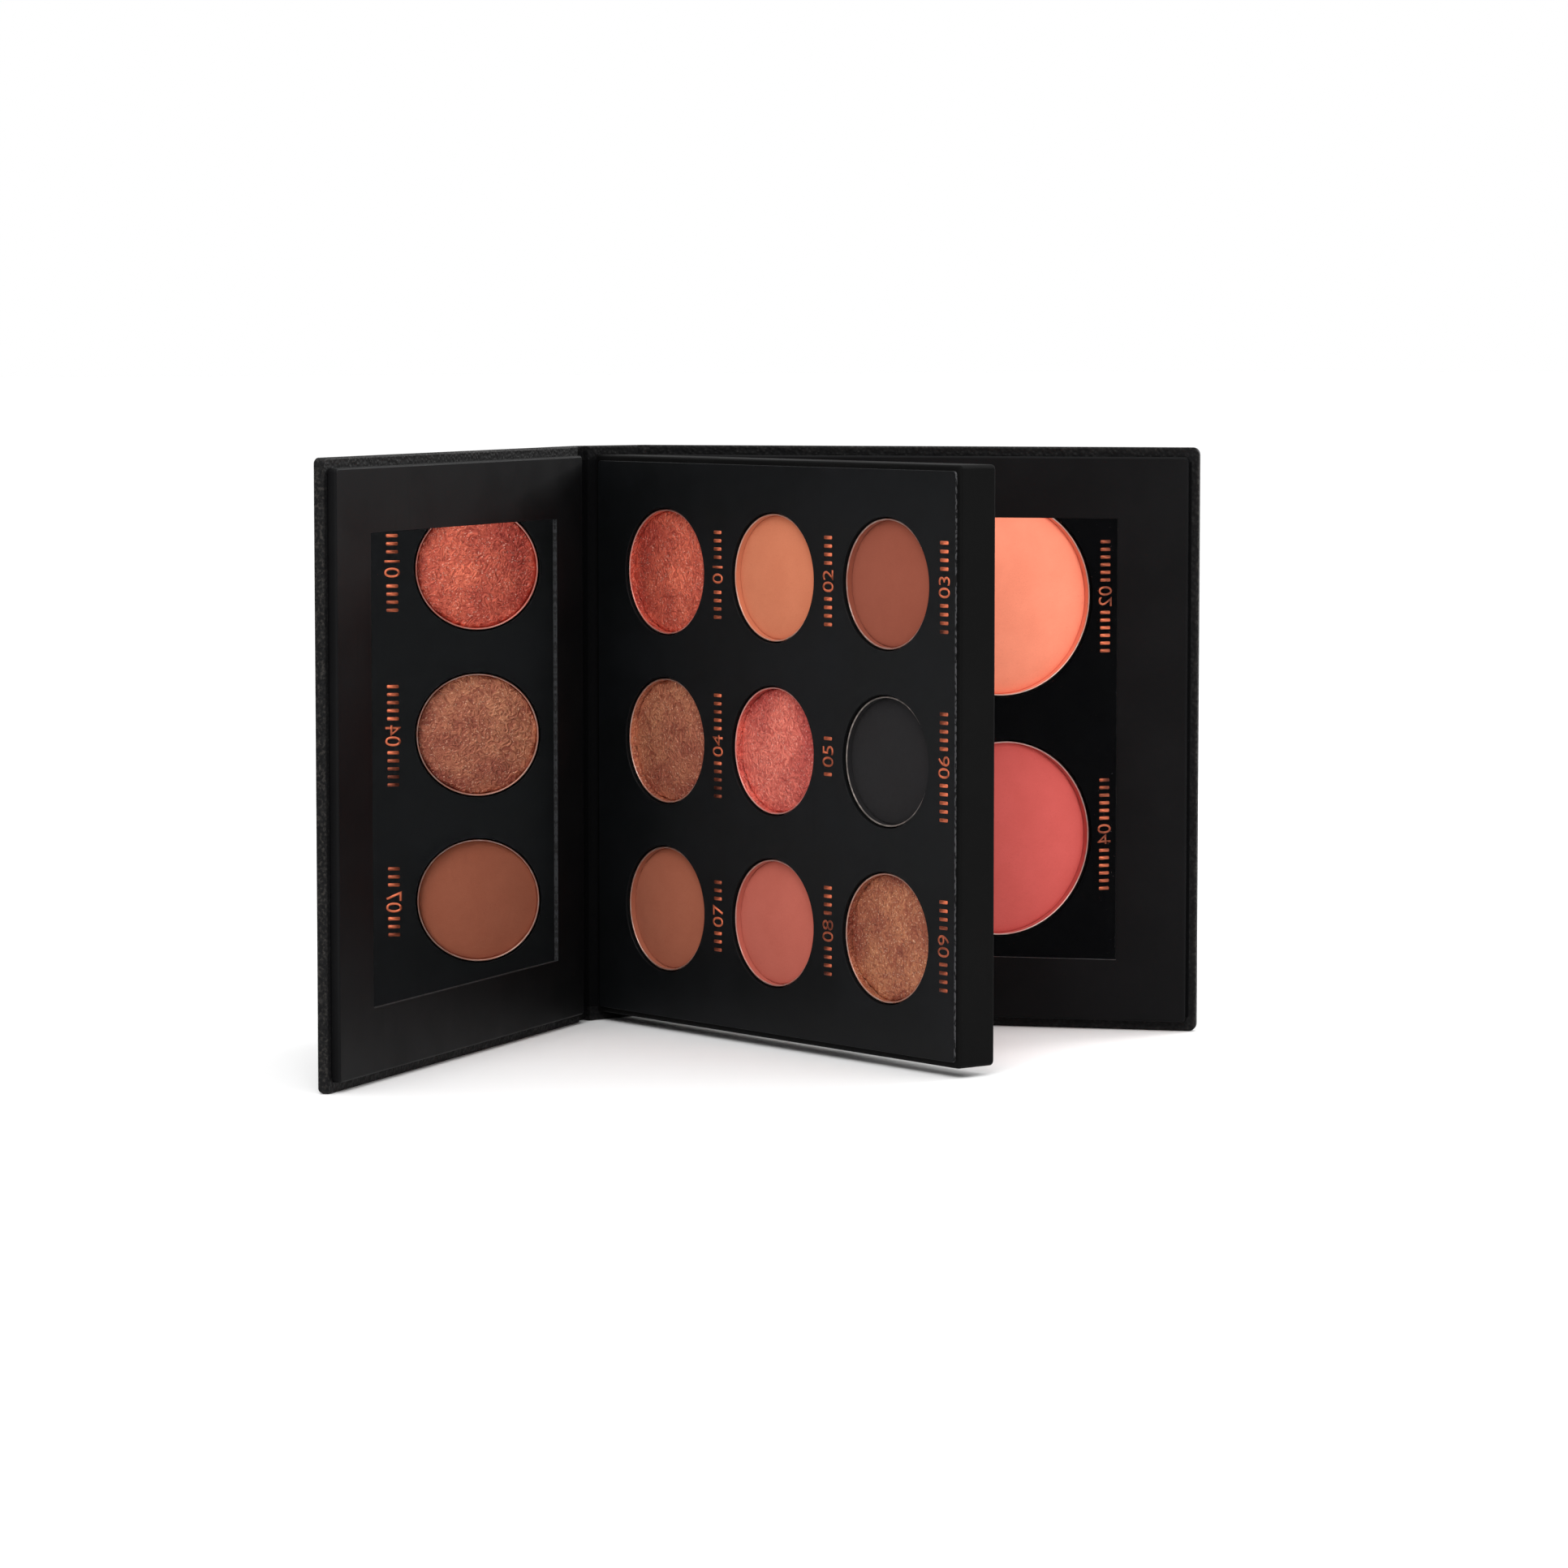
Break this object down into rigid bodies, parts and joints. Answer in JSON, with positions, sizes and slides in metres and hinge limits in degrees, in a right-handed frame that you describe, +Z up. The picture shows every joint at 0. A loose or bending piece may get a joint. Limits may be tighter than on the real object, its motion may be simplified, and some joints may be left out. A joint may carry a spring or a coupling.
{
  "type": "eyeshadow palette",
  "caption": "Double-sided make-up palette like a small book: a board case with a mirror in each hinged cover, and a thick tray with eyeshadow pans in front and face powders behind.",
  "frame": {"origin": "centre of the spine's foot, on the surface the palette stands on", "axes": "+Z up along both hinge axes; +X from the spine to the tray's free edge; the tray's eyeshadow face looks towards -Y and its face powder face towards +Y"},
  "size_m": [0.1199, 0.1971, 0.122],
  "materials": {
    "greyboard": "raw grey bookbinding board",
    "leatherette": "black bonded leatherette with a fine grain",
    "lining_paper": "matte black lining paper",
    "black_card": "satin black laminated card",
    "mirror_glass": "silvered glass",
    "white_tape": "double-sided foam tape",
    "magnet": "nickel-plated magnet",
    "glue": "hot-melt glue",
    "pan_tinplate": "bright tinplate with a rolled rim",
    "eyeshadow_copper_red": "shimmering pressed powder",
    "eyeshadow_peach_tan": "matte pressed powder",
    "eyeshadow_red_brown": "matte pressed powder",
    "eyeshadow_bronze_brown": "shimmering pressed powder",
    "eyeshadow_pink_coral": "shimmering pressed powder",
    "eyeshadow_charcoal": "matte pressed powder",
    "eyeshadow_warm_brown": "matte pressed powder",
    "eyeshadow_dusty_rose": "matte pressed powder",
    "eyeshadow_gold_bronze": "shimmering pressed powder",
    "face_powder_champagne": "shimmering pressed powder",
    "face_powder_coral_peach": "matte pressed powder",
    "face_powder_bronze": "matte pressed powder",
    "face_powder_red_coral": "matte pressed powder"
  },
  "bodies": {
    "tray": {"spine_board": "greyboard", "front_tray_core": "greyboard", "back_tray_core": "greyboard", "tray_divider": "greyboard", "front_hinge_wrap": "leatherette", "back_hinge_wrap": "leatherette", "spine_wrap": "leatherette", "tray_wrap": "leatherette", "front_hinge_liner": "lining_paper", "back_hinge_liner": "lining_paper", "spine_liner": "lining_paper", "front_tray_card": "black_card", "back_tray_card": "black_card", "tray_magnets": "magnet", "eyeshadow_glue": "glue", "face_powder_glue": "glue", "eyeshadow_pan_1": "pan_tinplate", "eyeshadow_pan_2": "pan_tinplate", "eyeshadow_pan_3": "pan_tinplate", "eyeshadow_pan_4": "pan_tinplate", "eyeshadow_pan_5": "pan_tinplate", "eyeshadow_pan_6": "pan_tinplate", "eyeshadow_pan_7": "pan_tinplate", "eyeshadow_pan_8": "pan_tinplate", "eyeshadow_pan_9": "pan_tinplate", "face_powder_pan_1": "pan_tinplate", "face_powder_pan_2": "pan_tinplate", "face_powder_pan_3": "pan_tinplate", "face_powder_pan_4": "pan_tinplate", "eyeshadow_1": "eyeshadow_copper_red", "eyeshadow_2": "eyeshadow_peach_tan", "eyeshadow_3": "eyeshadow_red_brown", "eyeshadow_4": "eyeshadow_bronze_brown", "eyeshadow_5": "eyeshadow_pink_coral", "eyeshadow_6": "eyeshadow_charcoal", "eyeshadow_7": "eyeshadow_warm_brown", "eyeshadow_8": "eyeshadow_dusty_rose", "eyeshadow_9": "eyeshadow_gold_bronze", "face_powder_1": "face_powder_champagne", "face_powder_2": "face_powder_coral_peach", "face_powder_3": "face_powder_bronze", "face_powder_4": "face_powder_red_coral"},
    "front_cover": {"front_cover_board": "greyboard", "front_cover_wrap": "leatherette", "front_cover_liner": "lining_paper", "front_cover_magnets": "magnet", "front_panel_spacer": "greyboard", "front_panel_card": "black_card", "front_mirror": "mirror_glass", "front_mirror_tape": "white_tape"},
    "back_cover": {"back_cover_board": "greyboard", "back_cover_wrap": "leatherette", "back_cover_liner": "lining_paper", "back_cover_magnets": "magnet", "back_panel_spacer": "greyboard", "back_panel_card": "black_card", "back_mirror": "mirror_glass", "back_mirror_tape": "white_tape"}
  },
  "joints": [
    {"name": "front_cover_hinge", "type": "hinge", "parent": "tray", "child": "front_cover", "pos_m": [-0.0009, -0.009, 0.061], "axis": [0, 0, -1], "range_deg": [-61, 119], "deforming": ["front_hinge_wrap", "front_hinge_liner"]},
    {"name": "back_cover_hinge", "type": "hinge", "parent": "tray", "child": "back_cover", "pos_m": [-0.0009, 0.009, 0.061], "axis": [0, 0, 1], "range_deg": [-38, 142], "deforming": ["back_hinge_wrap", "back_hinge_liner"]}
  ]
}
